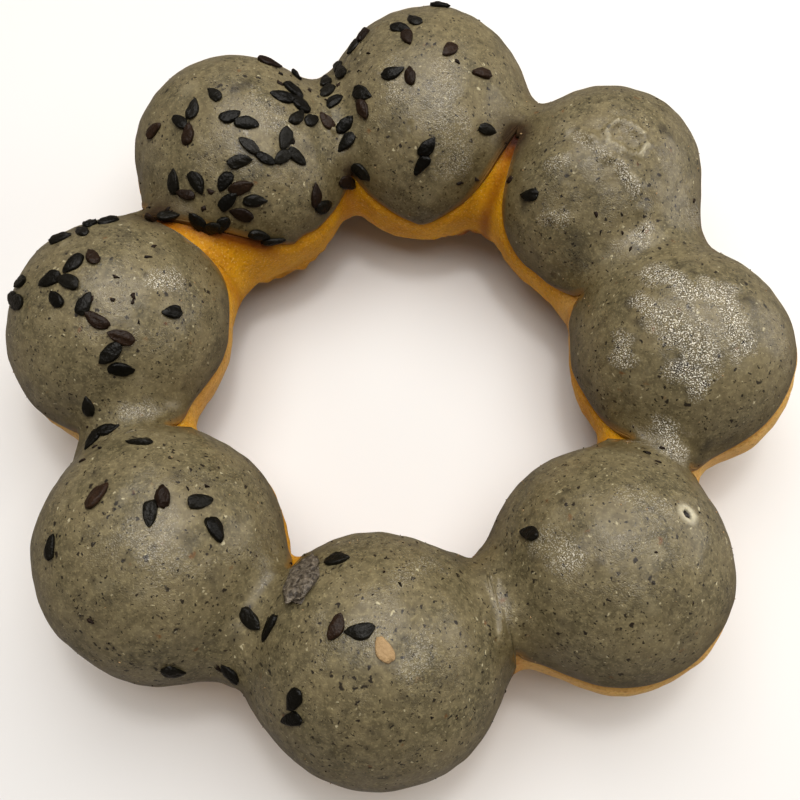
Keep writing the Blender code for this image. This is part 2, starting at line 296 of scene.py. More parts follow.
stops = [
    hole_edge - TUCKED_UNDER,
    level_line + BASE_FROM,
    level_line + BASE_TO,
    outer_edge + 360.0 + TUCKED_UNDER,
    hole_edge + 360.0 - TUCKED_UNDER,
]
runs = []
for rows, start, end in zip(DOUGH_ROWS, stops, stops[1:]):
    runs.append(start[:, None] + (end - start)[:, None] * np.arange(rows) / rows)
dough_angles = np.concatenate(runs, axis=1)
dough_bearings = np.repeat(bearings[:, None], sum(DOUGH_ROWS), axis=1)
bare = dough_angles > hole_edge[:, None]
bare &= dough_angles < outer_edge[:, None] + 360.0
first = skin(dough_bearings, dough_angles, DOUGH_BLEND, np.full(dough_angles.shape, MEASURED_FROM))
to_edge = from_edge(first)
rise = np.clip(to_edge / RISE_OVER, 0.0, 1.0) * bare
bare_grow = AT_EDGE + BARE_RISE * rise * (2.0 - rise)
hidden_grow = AT_EDGE - HIDDEN_DIP * np.clip(to_edge / DIP_OVER, 0.0, 1.0)
dough_grow = np.where(bare, bare_grow, hidden_grow)
lumps = np.random.default_rng(LUMPS_DRAW)
for height, length in CRUST_LUMPS:
    dough_grow += height * swells(first, length, lumps) * rise
torn_edge = np.exp(-((dough_angles - TORN_ANGLE) / TORN_HALF) ** 2)
for at, half in TORN:
    ragged = 0.2 + 0.45 * swells(first, 3.2, lumps) + 0.2 * swells(first, 1.7, lumps)
    dough_grow += torn_edge * stretch(at, half) * np.clip(ragged, 0.0, TORN_MOST)
points = skin(dough_bearings, dough_angles, DOUGH_BLEND, dough_grow)
dough = ring_mesh("dough_crust", points)
# Painted shade darkens the creases. The crust is also darker below an angle in the hole and close to the
# floor.
CREASE_HALF, DARKER_FROM, DARKER_OVER, DARKER_HIGH = 2.4, 200.0, 14.0, 4.0
# Section angles: the hole side ends at the first one, and the second points straight down.
HOLE_SIDE_TO, DOWN = 215.0, 270.0
# It stayed paler outside, and in the hole on two balls: bearing and half width.
PALE_FROM, PALE_OVER, PALE_IN_HOLE = 300.0, 20.0, [(179.0, 17.0), (12.0, 12.0)]
# Painted shadow darkens it just under the glaze of the ball left of the far one: bearing, half width,
# reach.
GLAZE_SHADOW_AT, GLAZE_SHADOW_HALF, GLAZE_SHADOW_REACH = 144.0, 8.0, 2.2
in_hole = dough_angles < HOLE_SIDE_TO
# Painted shade: the crust's colour darkens along each neck's crease.
crease = np.zeros(COLUMNS)
for _, at, _ in NECKS:
    off = (bearings - at + 180.0) % 360.0 - 180.0
    crease = np.maximum(crease, np.exp(-((off / CREASE_HALF) ** 2)))
# Darker towards the bottom: below an angle in the hole and close to the floor.
darker_low = np.clip((dough_angles - DARKER_FROM) / DARKER_OVER, 0.0, 1.0) * (dough_angles < DOWN)
darker_low = np.maximum(darker_low, np.clip(1.0 - points[:, :, 2] / DARKER_HIGH, 0.0, 1.0))
outside = np.clip((dough_angles - PALE_FROM) / PALE_OVER, 0.0, 1.0)
for at, half in PALE_IN_HOLE:
    outside = np.maximum(outside, 0.75 * stretch(at, half) * in_hole)
# Painted shadow under the glaze's edge.
shadow_under_glaze = 0.8 * np.exp(-((to_edge / GLAZE_SHADOW_REACH) ** 2)) * stretch(GLAZE_SHADOW_AT, GLAZE_SHADOW_HALF) * in_hole
note(dough, "crease", np.repeat(crease[:, None], dough_angles.shape[1], axis=1))
note(dough, "darker_low", darker_low)
note(dough, "outside", outside)
note(dough, "to_edge", np.where(bare, to_edge, 0.0))
note(dough, "scorched_and_shaded", np.maximum(scorch_and_shade(points), shadow_under_glaze))


def started(name):
    """A new material with its nodes, its shader and the place in space that its patterns use."""
    material = bpy.data.materials.new(name)
    material.use_nodes = True
    tree = material.node_tree
    place = add(tree, "ShaderNodeTexCoord", {}).outputs["Object"]
    return material, tree, tree.nodes["Principled BSDF"], place


def noted(tree, name, low, high, at_low, at_high):
    """A number kept on the mesh, run from one value to another between two limits."""
    value = add(tree, "ShaderNodeAttribute", {}, attribute_name=name).outputs["Fac"]
    return add(tree, "ShaderNodeMapRange", {
        "Value": value, "From Min": low, "From Max": high, "To Min": at_low, "To Max": at_high,
    }).outputs[0]


def mottled(tree, place, per_mm, detail, low, high, most):
    """Soft mottling with so many spots a millimetre, from 0 to the most it may be."""
    noise = add(tree, "ShaderNodeTexNoise", {"Vector": place, "Scale": per_mm / MM, "Detail": detail})
    return add(tree, "ShaderNodeMapRange", {
        "Value": noise.outputs["Fac"], "From Min": low, "From Max": high, "To Min": 0.0, "To Max": most,
    }).outputs[0]


def washed(tree, colour, washes):
    """A colour with washes of others laid over it in turn, each by its factor."""
    for factor, tone in washes:
        laid_over = {"Factor": factor, "A": colour, "B": linear(tone)}
        colour = add(tree, "ShaderNodeMix", laid_over, data_type="RGBA").outputs["Result"]
    return colour


# Fried crust: matt with a little oil, so its highlights are soft and broad, and warm light comes
# through it. Browning is blotched over 6 mm, with dark grain of 0.4 mm and pale flecks of 0.24 mm.
GRAINS_PER_MM = 2.4
crust, tree, shader, place = started("fried_dough_crust")
grain = add(tree, "ShaderNodeTexNoise", {"Vector": place, "Scale": GRAINS_PER_MM / MM, "Detail": 3.0})
colour = washed(tree, linear("#d2980f"), [
    (mottled(tree, place, 0.16, 3.0, 0.35, 0.7, 1.0), "#bb8208"),
    (noted(tree, "outside", 0.0, 1.0, 0.0, 0.75), "#d3ac6c"),
    (mottled(tree, place, GRAINS_PER_MM, 3.0, 0.5, 0.7, 0.45), "#875508"),
    (mottled(tree, place, 4.2, 2.0, 0.56, 0.7, 0.45), "#ecc573"),
    (noted(tree, "to_edge", 0.0, 1.2, 0.55, 0.0), "#9c6a1c"),
    # Darker towards the bottom.
    (noted(tree, "darker_low", 0.0, 1.0, 0.0, 0.8), "#764609"),
    # Painted shade in the creases.
    (noted(tree, "crease", 0.2, 1.0, 0.0, 0.5), "#b06e0c"),
    # Painted shade with some real scorching in the deepest creases, and painted shadow under the glaze's
    # edge.
    (noted(tree, "scorched_and_shaded", 0.1, 0.55, 0.0, 0.9), "#783a06"),
    (noted(tree, "scorched_and_shaded", 0.45, 0.9, 0.0, 0.95), "#2c0d04"),
])
tree.links.new(colour, shader.inputs["Base Color"])
shader.inputs["Roughness"].default_value = 0.5
shader.inputs["Specular IOR Level"].default_value = 0.15
shader.inputs["Subsurface Weight"].default_value = 0.25
shader.inputs["Subsurface Radius"].default_value = (1.0, 0.5, 0.2)
shader.inputs["Subsurface Scale"].default_value = 1.5 * MM
rough_skin = add(tree, "ShaderNodeBump", {
    "Height": grain.outputs["Fac"], "Strength": 0.8, "Distance": 0.16 * MM,
})
tree.links.new(rough_skin.outputs["Normal"], shader.inputs["Normal"])
dough.data.materials.append(crust)
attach(dough, "root")
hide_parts("dough_ring")

# Sesame glaze. Sugar and ground black sesame, poured thin over the top half while warm, so it
# runs down past the middle of each ball, draws back from the creases and pools over the necks.
# It sets as a skin under a millimetre thick that is stuck to the crust.
GLAZE_ROWS, RIM_ROWS, INNER_ROWS = 104, 4, 12  # on its outer face, round each lip and inside
# It thins by this much over this reach to its edge, bulges there by a share of its thickness, and
# its inner face lies this far inside the smooth balls and this many degrees past its outer one.
THINNED, THINNED_OVER, LIP_BULGE, INNER_IN, INNER_PAST = 0.42, 1.3, 0.16, -1.0, 1.5
# Swells of the poured skin: height and length in millimetres.
SKIN_SWELLS = [(0.12, 8.0), (0.045, 2.5)]
# Raised folds across the skin: start and end bearing and angle, height, half width.
FOLDS = [
    (51.0, 105.0, 45.0, 101.0, 0.3, 0.7),
    (45.0, 101.0, 39.0, 102.0, 0.42, 0.7),
    (39.0, 102.0, 36.0, 100.0, 0.42, 0.6),
    (36.0, 100.0, 31.0, 99.0, 0.42, 0.6),
    (31.0, 99.0, 26.0, 104.0, 0.3, 0.8),
    (49.0, 121.0, 46.0, 114.0, 0.3, 0.9),
    (41.0, 141.0, 36.0, 136.0, 0.25, 0.9),
    (107.5, 88.0, 106.0, 124.0, 0.4, 0.4),
    (286.5, 84.0, 288.5, 128.0, 0.35, 0.4),
    (284.5, 90.0, 285.5, 120.0, 0.2, 0.5),
    (331.0, 98.0, 335.0, 108.0, 0.25, 0.8),
    (199.0, 92.0, 202.5, 118.0, 0.2, 0.8),
]
# Marks of burst bubbles: start and end bearing and angle, radius, lip height, hollow depth. The
# lip's half width is a share of the radius.
LIP_HALF = 0.17
BUBBLES = [
    (41.3, 90.0, 38.7, 88.0, 1.7, 0.65, 0.4),
    (40.9, 91.0, 40.9, 90.0, 0.9, 0.0, -0.35),
    (322.0, 80.0, 322.0, 79.9, 0.85, 0.2, 0.8),
    (87.0, 127.0, 87.0, 126.9, 0.6, 0.1, 0.25),
    (92.0, 132.0, 92.0, 131.9, 0.5, 0.1, 0.25),
    (89.0, 137.0, 89.0, 136.9, 0.45, 0.1, 0.2),
]
# Where the sugar grained into a sparkling frost, which also carries painted glints in its colour: start
# and end bearing and angle, reach, how much.
FROST_AND_GLINT_RUNS = [
    (12.0, 113.0, 3.0, 96.0, 1.5, 1.0),
    (4.0, 120.0, 357.0, 106.0, 1.4, 0.9),
    (4.0, 88.0, 359.0, 82.0, 2.0, 0.9),
    (357.0, 106.0, 351.0, 95.0, 2.2, 1.0),
    (359.0, 83.0, 354.0, 78.0, 1.5, 1.0),
    (355.0, 132.0, 351.0, 131.0, 1.4, 0.8),
    (348.0, 104.0, 346.0, 93.0, 1.5, 1.0),
    (24.0, 104.0, 22.0, 110.0, 1.0, 0.6),
    (48.0, 104.0, 39.0, 103.0, 0.8, 0.45),
    (36.0, 101.0, 31.0, 100.0, 0.8, 0.7),
    (49.0, 122.0, 47.0, 117.0, 1.2, 0.45),
    (41.0, 142.0, 37.0, 137.0, 1.3, 0.45),
    (339.0, 110.0, 336.0, 98.0, 1.6, 0.7),
    (80.0, 101.0, 79.0, 119.0, 2.2, 0.35),
    (76.0, 122.0, 74.0, 142.0, 2.6, 0.3),
    (92.0, 96.0, 91.0, 110.0, 1.8, 0.3),
    (170.0, 118.0, 167.0, 125.0, 1.5, 0.7),
    (196.0, 112.0, 197.0, 128.0, 1.4, 0.3),
    (301.0, 101.0, 301.0, 104.0, 1.2, 0.7),
    (301.0, 104.0, 300.0, 114.0, 2.4, 0.35),
    (274.0, 88.0, 271.0, 80.0, 1.8, 0.25),
    (120.0, 98.0, 118.0, 118.0, 2.4, 0.3),
    (223.0, 86.0, 229.0, 90.0, 2.6, 0.25),
    (25.0, 60.0, 25.0, 40.0, 1.8, 0.35),
    (318.0, 104.0, 320.0, 92.0, 2.0, 0.3),
    (276.0, 128.0, 270.0, 116.0, 1.8, 0.25),
]
# Seeds and hulls sunk under the skin, seen as dark smudges: start and end bearing and angle, reach,
# how dark.
SUNK = [
    (124.0, 87.5, 120.5, 86.0, 0.7, 0.8),
    (38.0, 69.0, 36.0, 66.0, 0.7, 0.6),
    (50.0, 141.0, 48.5, 146.0, 0.6, 0.7),
    (31.0, 139.0, 29.5, 141.0, 1.0, 0.5),
    (27.0, 147.0, 25.0, 148.0, 1.1, 0.5),
    (132.0, 125.0, 130.5, 127.0, 0.8, 0.4),
    (115.0, 126.0, 113.0, 128.0, 0.8, 0.4),
    (6.0, 126.0, 4.0, 124.0, 0.7, 0.6),
    (359.0, 122.0, 358.0, 120.0, 0.5, 0.7),
    (349.0, 104.0, 348.0, 106.0, 0.6, 0.8),
    (2.0, 74.0, 1.0, 72.0, 0.8, 0.6),
    (340.0, 70.0, 337.0, 68.0, 0.7, 0.5),
    (91.0, 125.0, 91.0, 128.0, 1.2, 0.35),
    (98.0, 84.0, 96.0, 86.0, 0.7, 0.4),
    (160.0, 96.0, 162.0, 99.0, 0.8, 0.4),
    (238.0, 92.0, 236.0, 96.0, 0.9, 0.4),
    (311.0, 62.0, 309.0, 60.0, 0.9, 0.4),
    (277.0, 74.0, 275.0, 72.0, 0.8, 0.4),
]


def to_line(places, start, end):
    """Millimetres from each place to a straight run."""
    run = end - start
    share = np.clip((places - start) @ run / (run @ run), 0.0, 1.0)
    return np.linalg.norm(places - start - share[..., None] * run, axis=-1)


def from_run(bearing_a, angle_a, bearing_b, angle_b):
    """Millimetres from each place of the glaze to a run across it."""
    start = point_on(bearing_a, angle_a, GLAZE_BLEND)
    return to_line(level, start, point_on(bearing_b, angle_b, GLAZE_BLEND))


steps = np.arange(GLAZE_ROWS + 1) / GLAZE_ROWS
eased = steps - 0.05 * np.sin(2.0 * np.pi * steps)
glazed = outer_edge[:, None] + (hole_edge - outer_edge)[:, None] * eased
glaze_bearings = np.repeat(bearings[:, None], GLAZE_ROWS + 1, axis=1)
level = skin(glaze_bearings, glazed, GLAZE_BLEND, 0.0 * glazed)
to_edge = from_edge(level)
relief = sum(height * swells(level, length, lumps) for height, length in SKIN_SWELLS)
uneven = 0.65 + 0.5 * swells(level, 1.8, lumps)
for *run, height, width in FOLDS:
    relief += height * uneven * np.exp(-((from_run(*run) / width) ** 2))
frost_and_glints = np.zeros(glazed.shape)
for *run, reach, much in FROST_AND_GLINT_RUNS:
    off = from_run(*run) / (reach * (1.0 + 0.35 * swells(level, 2.4, lumps)))
    frost_and_glints = np.maximum(frost_and_glints, much * np.exp(-(np.abs(off) ** 3)))
sunk = np.zeros(glazed.shape)
for *run, reach, dark in SUNK:
    off = from_run(*run) / (reach * (1.0 + 0.5 * swells(level, 1.6, lumps)))
    sunk = np.maximum(sunk, dark * np.exp(-(off**2)))
lip_highlight_and_ring, pinhole_shade = np.zeros(glazed.shape), np.zeros(glazed.shape)
for *run, radius, lip, hollow in BUBBLES:
    off = from_run(*run) / radius * (1.0 + 0.1 * swells(level, 1.4, lumps))
    relief += lip * np.exp(-(((off - 1.0) / LIP_HALF) ** 2)) - hollow * np.exp(-((off / 0.6) ** 4))
    # Painted highlight along each bubble's lip; round the deep pinhole the glaze is pale.
    lip_highlight_and_ring = np.maximum(lip_highlight_and_ring, 0.85 * lip * uneven * np.exp(-(((off - 1.0) / 0.2) ** 2)))
    if hollow > 0.5:
        lip_highlight_and_ring = np.maximum(lip_highlight_and_ring, np.exp(-((off / 1.4) ** 4)))
        # Painted shade inside the pinhole.
        pinhole_shade = np.maximum(pinhole_shade, np.exp(-((off / 0.65) ** 4)))
thin = np.clip(1.0 - to_edge / THINNED_OVER, 0.0, 1.0)
outer_grow = relief * (1.0 - thin) - THINNED * thin**2
outer_face = skin(glaze_bearings, glazed, GLAZE_BLEND, outer_grow)
inner_steps = np.arange(INNER_ROWS + 1) / INNER_ROWS
inner_span = outer_edge - hole_edge + 2.0 * INNER_PAST
inner_angles = hole_edge[:, None] - INNER_PAST + inner_span[:, None] * inner_steps
inner_bearings = np.repeat(bearings[:, None], INNER_ROWS + 1, axis=1)
inner_face = skin(inner_bearings, inner_angles, DOUGH_BLEND, np.full(inner_angles.shape, INNER_IN))


def rim(start, end, before):
    """A rounded lip from the edge of the outer face to the inner face."""
    out = start - before
    out /= np.maximum(np.linalg.norm(out, axis=-1, keepdims=True), 1e-6)
    reach = LIP_BULGE * np.linalg.norm(end - start, axis=-1, keepdims=True)
    rows = []
    for k in range(1, RIM_ROWS):
        share = k / RIM_ROWS
        rows.append(start + (end - start) * share + out * reach * math.sin(math.pi * share))
    return np.stack(rows, axis=1)


hole_rim = rim(outer_face[:, -1], inner_face[:, 0], outer_face[:, -4])
outer_rim = rim(outer_face[:, 0], inner_face[:, -1], outer_face[:, 3])[:, ::-1]
glaze_points = np.concatenate([outer_face, hole_rim, inner_face, outer_rim], axis=1)
glaze = ring_mesh("sesame_glaze_skin", glaze_points)
notes = {"to_edge": to_edge, "frost_and_glints": frost_and_glints, "sunk": sunk, "lip_highlight_and_ring": lip_highlight_and_ring, "pinhole_shade": pinhole_shade}
for name, values in notes.items():
    kept = np.zeros(glaze_points.shape[:2])
    kept[:, :GLAZE_ROWS + 1] = values
    note(glaze, name, kept)
# The glaze takes painted shade round the deepest creases too.
note(glaze, "scorched_and_shaded", scorch_and_shade(glaze_points))

# Set sugar glaze: a satin skin that light enters a little way, so its colour is soft and the
# crust tints it where it is thin. A fine sugar grain breaks its highlights into sparkles.
icing, tree, shader, place = started("ground_sesame_glaze")
# Specks aren't round: the pattern's space is bent by up to 0.3 mm and squeezed one way.
bend = add(tree, "ShaderNodeTexNoise", {"Vector": place, "Scale": 1.5 / MM, "Detail": 3.0}).outputs["Color"]
centred = add(tree, "ShaderNodeVectorMath", {0: bend, 1: (0.5, 0.5, 0.5)}, operation="SUBTRACT").outputs[0]
small = add(tree, "ShaderNodeVectorMath", {0: centred, "Scale": 1.1 * MM}, operation="SCALE").outputs[0]
bent = add(tree, "ShaderNodeVectorMath", {0: place, 1: small}, operation="ADD").outputs[0]
# Warm grey body, cloudy over 5 mm, mottled over 0.9 mm and mealy over 0.3 mm.
colour = washed(tree, linear("#504933"), [
    (mottled(tree, place, 0.2, 3.0, 0.35, 0.65, 1.0), "#695f45"),
    (mottled(tree, place, 1.1, 4.0, 0.4, 0.7, 0.5), "#8b805f"),
    (mottled(tree, place, 3.3, 2.0, 0.52, 0.7, 0.4), "#a0946d"),
])
# Ground sesame: cell size and largest speck radius in millimetres, softness, share of cells,
# colour and strength.
SPECKS = [
    (4.2, 1.8, 1.0, 0.5, "#8d8468", 0.55),
    (3.4, 1.3, 0.9, 0.6, "#363126", 0.6),
    (2.0, 0.7, 0.8, 0.6, "#2b2619", 0.7),
    (1.6, 0.42, 0.35, 0.45, "#120a04", 0.92),
    (0.95, 0.28, 0.25, 0.75, "#140b04", 0.95),
    (0.6, 0.19, 0.3, 0.8, "#1a130a", 1.0),
    (0.42, 0.14, 0.4, 0.8, "#2b2113", 0.9),
    (1.9, 0.45, 0.6, 0.4, "#6a4018", 0.65),
    (1.2, 0.26, 0.5, 0.5, "#cfc6a2", 0.65),
    (0.7, 0.15, 0.5, 0.5, "#c4ba96", 0.65),
]
for number, (cell, radius, soft, share, tone, strength) in enumerate(SPECKS):
    shift = add(tree, "ShaderNodeMapping", {
        "Vector": bent, "Location": (number * 0.013, number * 0.007, 0.0),
        "Rotation": (number * 0.7, number * 1.1, number * 0.5), "Scale": (1.0, 1.0, 1.3),
    }).outputs[0]
    cells = add(tree, "ShaderNodeTexVoronoi", {"Vector": shift, "Scale": 1.0 / cell / MM})
    pick = add(tree, "ShaderNodeSeparateColor", {0: cells.outputs["Color"]}).outputs[0]
    size = add(tree, "ShaderNodeMapRange", {
        "Value": pick, "From Min": 1.0 - share, "From Max": 1.0, "To Min": 0.0, "To Max": radius / cell,
    }).outputs[0]
    inside = add(tree, "ShaderNodeMath", {0: size, 1: cells.outputs["Distance"]}, operation="SUBTRACT")
    seen = add(tree, "ShaderNodeMapRange", {
        "Value": inside.outputs[0], "From Min": 0.0, "From Max": soft * radius / cell,
        "To Min": 0.0, "To Max": strength,
    }).outputs[0]
    colour = washed(tree, colour, [(seen, tone)])
# Frost: sugar grains of 0.16 mm, each one bright or dark by the way it faces, with painted glints laid
# into the colour as bright dots.
SUGAR_PER_MM = 6.2
sugar = add(tree, "ShaderNodeTexNoise", {
    "Vector": place, "Scale": SUGAR_PER_MM / MM, "Detail": 1.0,
}).outputs["Fac"]
frosty = noted(tree, "frost_and_glints", 0.1, 1.0, 0.0, 1.0)
glint_dots = mottled(tree, place, SUGAR_PER_MM, 1.0, 0.54, 0.65, 1.0)
painted_glints = add(tree, "ShaderNodeMath", {0: glint_dots, 1: frosty}, operation="MULTIPLY").outputs[0]
# The crust shows through where the glaze thins out to its edge, darkened over a wider band by painted
# shade, and what is sunk in it is dim.
colour = washed(tree, colour, [
    # Painted shade and the crust showing through, within 5 mm of the edge.
    (noted(tree, "to_edge", 0.0, 5.0, 0.75, 0.0), "#4a3c17"),
    (noted(tree, "to_edge", 0.0, 0.9, 0.85, 0.0), "#8e621a"),
    # Painted shade round the deepest creases.
    (noted(tree, "scorched_and_shaded", 0.05, 0.6, 0.0, 0.9), "#2a1c0f"),
    (noted(tree, "sunk", 0.0, 1.0, 0.0, 0.9), "#26221b"),
    # Painted highlight on the bubble lips, and the pale ring round the pinhole.
    (noted(tree, "lip_highlight_and_ring", 0.1, 0.9, 0.0, 0.85), "#cdc6ab"),
    # Painted shade in the pinhole.
    (noted(tree, "pinhole_shade", 0.2, 0.6, 0.0, 1.0), "#1a140b"),
    # Painted glints on the frost.
    (painted_glints, "#f4efdf"),
])
tree.links.new(colour, shader.inputs["Base Color"])
tree.links.new(noted(tree, "scorched_and_shaded", 0.0, 0.5, 0.5, 1.0), shader.inputs["Roughness"])
# Away from the frost the sugar's gloss and grain are faint, in patches 4 mm across.
patches = add(tree, "ShaderNodeTexNoise", {"Vector": place, "Scale": 0.24 / MM, "Detail": 3.0})
faint = add(tree, "ShaderNodeMapRange", {
    "Value": patches.outputs["Fac"], "From Min": 0.42, "From Max": 0.6, "To Min": 0.05, "To Max": 0.4,
}).outputs[0]
sugared = add(tree, "ShaderNodeMath", {0: faint, 1: frosty}, operation="ADD").outputs[0]
glossy = add(tree, "ShaderNodeMapRange", {"Value": sugared, "To Min": 0.14, "To Max": 1.0}).outputs[0]
away_from_dark_creases = noted(tree, "scorched_and_shaded", 0.0, 0.5, 1.0, 0.0)
coated = add(tree, "ShaderNodeMath", {0: glossy, 1: away_from_dark_creases}, operation="MULTIPLY").outputs[0]
tree.links.new(coated, shader.inputs["Coat Weight"])
shader.inputs["Coat Roughness"].default_value = 0.12
shader.inputs["Specular IOR Level"].default_value = 0.28
shader.inputs["Subsurface Weight"].default_value = 0.1
shader.inputs["Subsurface Radius"].default_value = (1.0, 0.8, 0.55)
shader.inputs["Subsurface Scale"].default_value = 0.8 * MM
# Sugar grain, over the ground sesame's lumps of 1 mm.
lumpy = add(tree, "ShaderNodeTexNoise", {"Vector": place, "Scale": 0.9 / MM, "Detail": 2.0}).outputs["Fac"]
raised = add(tree, "ShaderNodeMath", {0: sugar, 1: sugared}, operation="MULTIPLY").outputs[0]
under = add(tree, "ShaderNodeBump", {"Height": lumpy, "Strength": 1.0, "Distance": 0.02 * MM})
sugary = add(tree, "ShaderNodeBump", {
    "Height": raised, "Normal": under.outputs["Normal"], "Strength": 1.0, "Distance": 0.2 * MM,
})
tree.links.new(sugary.outputs["Normal"], shader.inputs["Normal"])
tree.links.new(sugary.outputs["Normal"], shader.inputs["Coat Normal"])
glaze.data.materials.append(icing)
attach(glaze, "root")
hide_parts("sesame_glaze")

# Whole seeds. Black sesame, flat teardrops about 3 mm long, shaken over one side of the ring
# while the glaze was wet, so they lie flat and stick in it. Some hulls are brown, and one seed
# has lost its hull.
SEED_LONG, SEED_WIDE, SEED_THICK, SEED_LIFT = 3.0, 1.7, 0.8, 0.12
# They lie this far apart, found in this many pushes, and rock a few degrees about their length.
SEED_APART, PUSHES, SEED_ROCK = 2.2, 12, 8.0
SEED_DRAW, KINDS_DRAW = 7, 69
GOLDEN_TURN = math.pi * (3.0 - math.sqrt(5.0))
# Where they fell: bearing, section angle, half spread of each, and how many.
SPRINKLES = [
    (83.0, 47.0, 0.0, 0.0, 1),
    (88.5, 74.0, 2.5, 9.0, 3),
    (80.0, 87.0, 0.0, 0.0, 1),
    (97.5, 60.0, 2.0, 4.0, 2),
    (102.0, 69.0, 1.5, 8.0, 3),
    (104.0, 94.0, 2.5, 9.0, 2),
    (89.5, 101.0, 3.0, 4.0, 2),
    (97.5, 111.0, 2.5, 4.0, 2),
    (102.5, 126.0, 3.0, 6.0, 2),
    (73.0, 92.0, 0.0, 0.0, 1),
    (68.0, 120.0, 0.0, 0.0, 1),
    (83.0, 140.0, 2.5, 5.0, 2),
    (104.0, 153.0, 2.5, 2.0, 2),
    (112.0, 70.0, 4.5, 5.0, 2),
    (113.5, 103.0, 2.5, 10.0, 4),
    (109.0, 117.0, 1.5, 7.0, 2),
    (127.0, 84.0, 0.0, 0.0, 1),
    (134.5, 84.0, 3.0, 6.0, 3),
    (138.0, 64.0, 0.0, 0.0, 1),
    (126.5, 101.0, 1.0, 5.0, 2),
    (122.0, 124.0, 5.0, 6.0, 4),
    (130.5, 116.0, 2.0, 3.0, 2),
    (137.0, 130.0, 4.0, 9.0, 5),
    (143.0, 106.0, 1.5, 10.0, 3),
    (147.0, 134.0, 3.0, 9.0, 3),
    (151.0, 106.0, 2.0, 16.0, 2),
    (116.5, 156.0, 1.0, 6.0, 2),
    (137.5, 155.0, 3.0, 6.0, 2),
    (160.0, 72.0, 3.0, 9.0, 3),
    (164.5, 62.0, 1.0, 6.0, 1),
    (169.5, 87.0, 1.0, 6.0, 2),
    (174.5, 77.0, 1.5, 6.0, 3),
    (174.0, 49.0, 2.5, 3.0, 3),
    (180.0, 93.0, 2.0, 4.0, 2),
    (184.0, 107.0, 0.0, 0.0, 1),
    (188.5, 106.0, 2.5, 5.0, 2),
    (176.0, 128.0, 0.0, 0.0, 1),
    (193.0, 82.0, 0.0, 0.0, 1),
    (198.0, 86.0, 2.5, 3.0, 2),
    (206.0, 110.0, 0.0, 0.0, 1),
    (213.5, 80.0, 1.0, 5.0, 1),
    (221.0, 100.0, 1.5, 3.0, 2),
    (228.0, 115.0, 5.0, 5.0, 2),
    (215.0, 55.0, 0.0, 0.0, 1),
    (237.0, 31.0, 0.0, 0.0, 1),
    (244.0, 39.0, 2.0, 1.0, 1),
    (246.5, 88.0, 3.0, 1.0, 2),
    (256.0, 127.0, 0.0, 0.0, 1),
    (261.0, 94.0, 2.5, 2.0, 2),
    (267.0, 87.0, 0.0, 0.0, 1),
    (255.5, 58.5, 0.5, 7.0, 2),
    (299.0, 126.0, 0.0, 0.0, 1),
    (49.0, 139.0, 0.0, 0.0, 1),
]
BROWN_SHARE = 0.22
PALE_SPRINKLE = (267.0, 87.0)


def sprinkle(patches, draw):
    """Spots of seeds, pushed apart where they crowd, with a heading and a size for each."""
    around, tilts = [], []
    for bearing, angle, wide, tall, count in patches:
        turn = draw.uniform(0.0, 2.0 * math.pi)
        for i in range(count):
            out = math.sqrt((i + 0.5) / count)
            around.append(bearing + wide * out * math.cos(turn + i * GOLDEN_TURN))
            tilts.append(angle + tall * out * math.sin(turn + i * GOLDEN_TURN))
    spots = skin(np.array(around), np.array(tilts), GLAZE_BLEND, np.zeros(len(tilts)))
    for _ in range(PUSHES):
        apart = spots[:, None] - spots[None, :]
        distance = np.linalg.norm(apart, axis=-1) + np.eye(len(spots)) * SEED_APART
        short = np.clip(SEED_APART - distance, 0.0, None)
        spots = spots + (apart * (short / distance / 2.0)[:, :, None]).sum(axis=1)
    return spots, draw.uniform(0.0, 360.0, len(spots)), draw.uniform(0.88, 1.08, len(spots))


def frame_on_glaze(spot, heading):
    """Where a thing dropped at the spot lies: place, normal and heading on the skin."""
    _, place, facing, _ = glaze.closest_point_on_mesh(Vector(spot * MM))
    facing = np.array(facing)
    flat = np.cross((0.0, 0.0, 1.0), facing)
    flat /= max(np.linalg.norm(flat), 1e-6)
    uphill = np.cross(facing, flat)
    pointed = flat * math.cos(math.radians(heading)) + uphill * math.sin(math.radians(heading))
    return np.array(place) / MM, facing, pointed


def teardrop(rings, segments):
    """A seed of unit half sizes: blunt at one end, pointed at the other, with a ridge round its rim."""
    points, faces = [(0.0, 0.0, -1.0)], []
    for i in range(1, rings):
        along = -math.cos(math.pi * i / rings)
        slim = (1.0 - along) ** 0.8 * (1.0 + along) ** 0.5 / 1.036
        for j in range(segments):
            turn = 2.0 * math.pi * j / segments
            across = math.cos(turn)
            ridge = 0.14 * math.exp(-((abs(across) - 0.87) / 0.08) ** 2)
            high = math.copysign(abs(math.sin(turn)) ** 0.75 + ridge, math.sin(turn))
            up = high if j % (segments // 2) else 0.0
            points.append((across * slim, up * slim**0.7, along))
    points.append((0.0, 0.0, 1.0))
    for j in range(segments):
        k = (j + 1) % segments
        faces.append((0, 1 + k, 1 + j))
        for i in range(rings - 2):
            a, b = 1 + i * segments, 1 + (i + 1) * segments
            faces.append((a + j, a + k, b + k, b + j))
        last = 1 + (rings - 2) * segments
        faces.append((last + j, last + k, len(points) - 1))
    return np.array(points), faces


def crumpled(points, draw):
    """The same shape with an outline of its own, fine wrinkles and a slight curl."""
    bulge = 1.0 + 0.09 * swells(points, 1.6, draw) + 0.05 * swells(points, 0.6, draw)
    changed = points * bulge[:, None]
    changed[:, 1] += draw.uniform(-0.25, 0.35) * changed[:, 2] ** 2 + 0.14 * swells(points, 0.7, draw)
    changed[:, 0] += draw.uniform(-0.22, 0.22) * changed[:, 2] ** 2
    return changed


